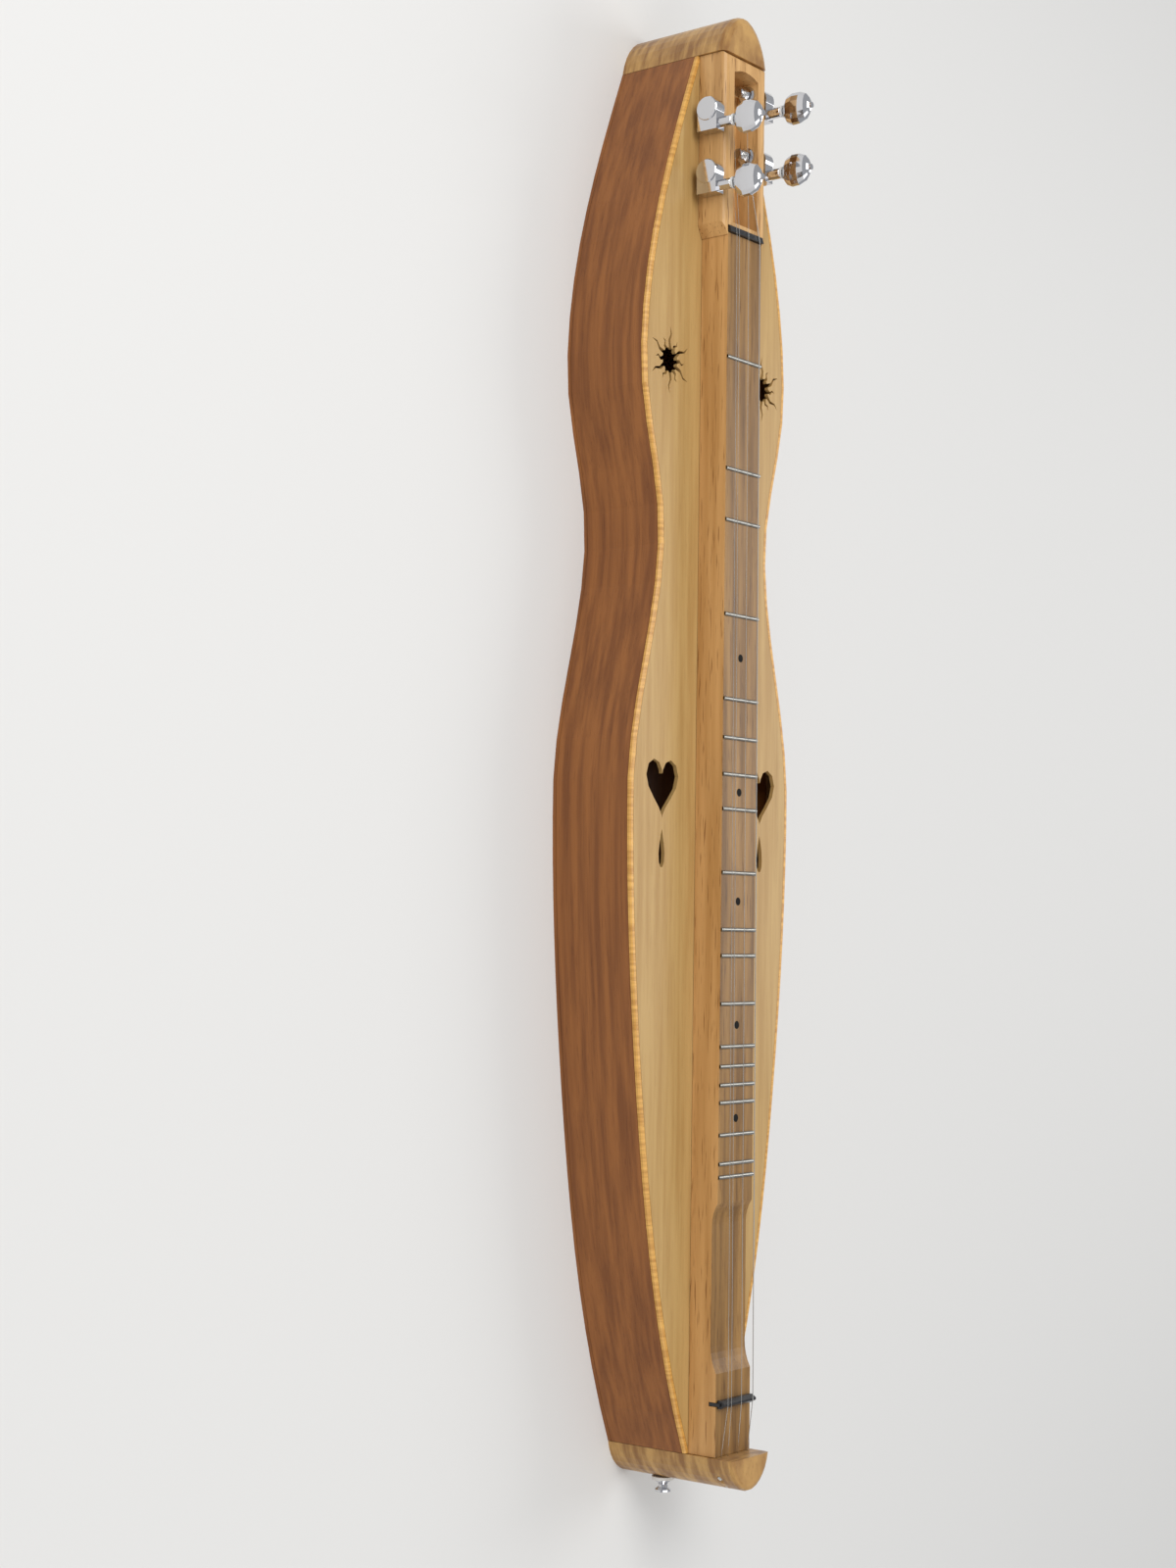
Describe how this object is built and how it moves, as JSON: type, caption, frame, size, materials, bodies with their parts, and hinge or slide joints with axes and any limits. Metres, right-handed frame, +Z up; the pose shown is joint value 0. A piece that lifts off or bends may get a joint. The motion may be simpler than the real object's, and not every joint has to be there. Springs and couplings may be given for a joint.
{
  "type": "mountain dulcimer",
  "caption": "Hourglass mountain dulcimer lying on its back: raised fretboard, slotted pegbox with geared tuners, strings over nut and bridge, strap button.",
  "frame": {"origin": "centre of the overall box, on the surface that the back lies on", "axes": "+X along the strings towards the head, +Y to the melody string's side, +Z up out of the top"},
  "size_m": [0.9302, 0.1702, 0.1124],
  "materials": {
    "side_wood": "satin lacquer",
    "soundboard_wood": "satin lacquer",
    "block_wood": "satin lacquer",
    "binding_wood": "satin lacquer",
    "fretboard_wood": "satin lacquer",
    "inner_wood": "raw",
    "black_bone": "satin",
    "string_steel": "bright",
    "tuner_chrome": "polished",
    "gear_brass": "plain",
    "washer_nylon": "plain",
    "washer_felt": "felt"
  },
  "bodies": {
    "instrument": {"back": "side_wood", "back_brace_lower": "inner_wood", "back_brace_upper": "inner_wood", "bass_string": "string_steel", "bass_tuner_ferrule": "tuner_chrome", "bass_tuner_housing": "tuner_chrome", "bass_tuner_washer": "washer_nylon", "binding_left": "binding_wood", "binding_right": "binding_wood", "bridge": "black_bone", "fretboard": "fretboard_wood", "front_brace_lower": "inner_wood", "front_brace_upper": "inner_wood", "head_block": "block_wood", "lining_back_left": "inner_wood", "lining_back_right": "inner_wood", "lining_front_left": "inner_wood", "lining_front_right": "inner_wood", "melody_inner_string": "string_steel", "melody_inner_tuner_ferrule": "tuner_chrome", "melody_inner_tuner_housing": "tuner_chrome", "melody_inner_tuner_washer": "washer_nylon", "melody_outer_string": "string_steel", "melody_outer_tuner_ferrule": "tuner_chrome", "melody_outer_tuner_housing": "tuner_chrome", "melody_outer_tuner_washer": "washer_nylon", "middle_string": "string_steel", "middle_tuner_ferrule": "tuner_chrome", "middle_tuner_housing": "tuner_chrome", "middle_tuner_washer": "washer_nylon", "nut": "black_bone", "pegbox": "fretboard_wood", "side_left": "side_wood", "side_right": "side_wood", "soundboard": "soundboard_wood", "strap_button": "tuner_chrome", "strap_screw": "tuner_chrome", "strap_washer": "washer_felt", "tail_block": "block_wood"},
    "melody_outer_knob": {"melody_outer_tuner_button": "tuner_chrome", "melody_outer_tuner_worm_shaft": "tuner_chrome"},
    "melody_outer_spindle": {"melody_outer_tuner_gear": "gear_brass", "melody_outer_tuner_post": "tuner_chrome", "melody_outer_winding": "string_steel"},
    "melody_inner_knob": {"melody_inner_tuner_button": "tuner_chrome", "melody_inner_tuner_worm_shaft": "tuner_chrome"},
    "melody_inner_spindle": {"melody_inner_tuner_gear": "gear_brass", "melody_inner_tuner_post": "tuner_chrome", "melody_inner_winding": "string_steel"},
    "middle_knob": {"middle_tuner_button": "tuner_chrome", "middle_tuner_worm_shaft": "tuner_chrome"},
    "middle_spindle": {"middle_tuner_gear": "gear_brass", "middle_tuner_post": "tuner_chrome", "middle_winding": "string_steel"},
    "bass_knob": {"bass_tuner_button": "tuner_chrome", "bass_tuner_worm_shaft": "tuner_chrome"},
    "bass_spindle": {"bass_tuner_gear": "gear_brass", "bass_tuner_post": "tuner_chrome", "bass_winding": "string_steel"}
  },
  "joints": [
    {"name": "melody_outer_knob_turn", "type": "hinge", "parent": "instrument", "child": "melody_outer_knob", "pos_m": [0.3497, 0.02715, 0.0724], "axis": [0, 0, 1], "continuous": true},
    {"name": "melody_outer_post_turn", "type": "hinge", "parent": "instrument", "child": "melody_outer_spindle", "pos_m": [0.35905, 0.02285, 0.0724], "axis": [0, 1, 0], "continuous": true, "deforming": ["melody_outer_string"]},
    {"name": "melody_inner_knob_turn", "type": "hinge", "parent": "instrument", "child": "melody_inner_knob", "pos_m": [0.3897, 0.02715, 0.0724], "axis": [0, 0, 1], "continuous": true},
    {"name": "melody_inner_post_turn", "type": "hinge", "parent": "instrument", "child": "melody_inner_spindle", "pos_m": [0.39905, 0.02285, 0.0724], "axis": [0, 1, 0], "continuous": true, "deforming": ["melody_inner_string"]},
    {"name": "middle_knob_turn", "type": "hinge", "parent": "instrument", "child": "middle_knob", "pos_m": [0.4097, -0.02715, 0.0724], "axis": [0, 0, 1], "continuous": true},
    {"name": "middle_post_turn", "type": "hinge", "parent": "instrument", "child": "middle_spindle", "pos_m": [0.41905, -0.02285, 0.0724], "axis": [0, 1, 0], "continuous": true, "deforming": ["middle_string"]},
    {"name": "bass_knob_turn", "type": "hinge", "parent": "instrument", "child": "bass_knob", "pos_m": [0.3697, -0.02715, 0.0724], "axis": [0, 0, 1], "continuous": true},
    {"name": "bass_post_turn", "type": "hinge", "parent": "instrument", "child": "bass_spindle", "pos_m": [0.37905, -0.02285, 0.0724], "axis": [0, 1, 0], "continuous": true, "deforming": ["bass_string"]}
  ],
  "couplings": [
    {"joint": "melody_outer_post_turn", "follows": "melody_outer_knob_turn", "ratio": -0.071429},
    {"joint": "melody_inner_post_turn", "follows": "melody_inner_knob_turn", "ratio": -0.071429},
    {"joint": "middle_post_turn", "follows": "middle_knob_turn", "ratio": -0.071429},
    {"joint": "bass_post_turn", "follows": "bass_knob_turn", "ratio": -0.071429}
  ]
}
